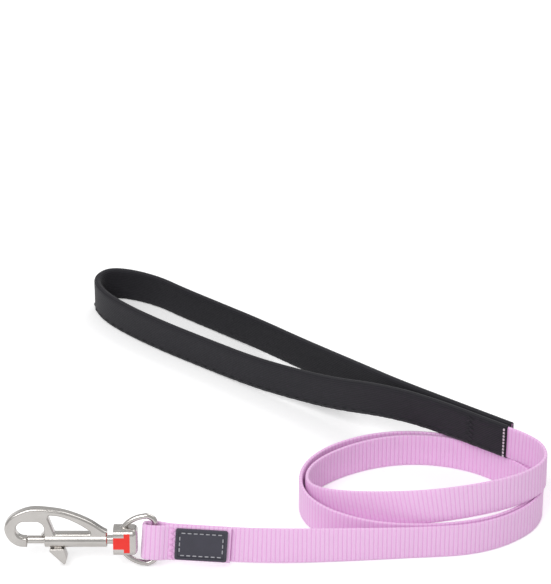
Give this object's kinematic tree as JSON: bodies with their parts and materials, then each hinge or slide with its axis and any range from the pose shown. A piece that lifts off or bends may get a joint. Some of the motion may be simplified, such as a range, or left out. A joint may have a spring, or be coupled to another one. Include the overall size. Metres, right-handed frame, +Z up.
{
  "type": "webbing pet lead",
  "caption": "Thin pet lead of ribbed pink webbing lying in loose turns, with a black sleeved hand loop and a nickel bolt snap with a swivel and a red insert.",
  "frame": {"origin": "centre of the footprint of the snap, patch and hand loop, on the surface the lead lies on", "axes": "+X along the front of the strap from the snap towards the turns, +Y back towards the hand loop, +Z up"},
  "size_m": [0.1748, 0.1698, 0.0249],
  "materials": {
    "nickel": "satin nickel plate on cast zinc",
    "spring_steel": "drawn wire",
    "red_plastic": "moulded",
    "pink_webbing": "ribbed woven nylon",
    "pink_thread": "sewing thread",
    "black_rubber": "moulded, matt",
    "grey_thread": "sewing thread",
    "black_twill": "woven twill",
    "black_thread": "sewing thread",
    "pale_thread": "sewing thread"
  },
  "bodies": {
    "lead": {"lead_webbing": "pink_webbing", "strap_end_loop": "pink_webbing", "end_bartack": "pink_thread", "label_patch": "black_rubber", "label_stitching": "grey_thread", "handle_sleeve": "black_twill", "sleeve_seam_thread": "black_thread", "neck_bartack": "black_thread", "sleeve_end_thread": "pale_thread"},
    "link": {"swivel_block": "nickel", "locking_insert": "red_plastic"},
    "hook": {"hook_body": "nickel", "swivel_stud": "nickel", "gate_spring": "spring_steel"},
    "gate": {"gate_bolt": "nickel", "thumb_lever": "nickel"}
  },
  "joints": [
    {"name": "bow_swing", "type": "hinge", "parent": "lead", "child": "link", "pos_m": [-0.0344, -0.0803, 0.00889], "axis": [0, 0.225, 0.9744], "range_deg": [-110, 110]},
    {"name": "swivel_spin", "type": "hinge", "parent": "link", "child": "hook", "pos_m": [-0.0477, -0.0803, 0.00889], "axis": [1, 0, 0], "continuous": true},
    {"name": "gate_slide", "type": "slide", "parent": "hook", "child": "gate", "axis": [1, 0, 0], "range_m": [0, 0.0054], "stiffness_N_per_m": 300, "springref_m": -0.004, "deforming": ["gate_spring"]}
  ]
}
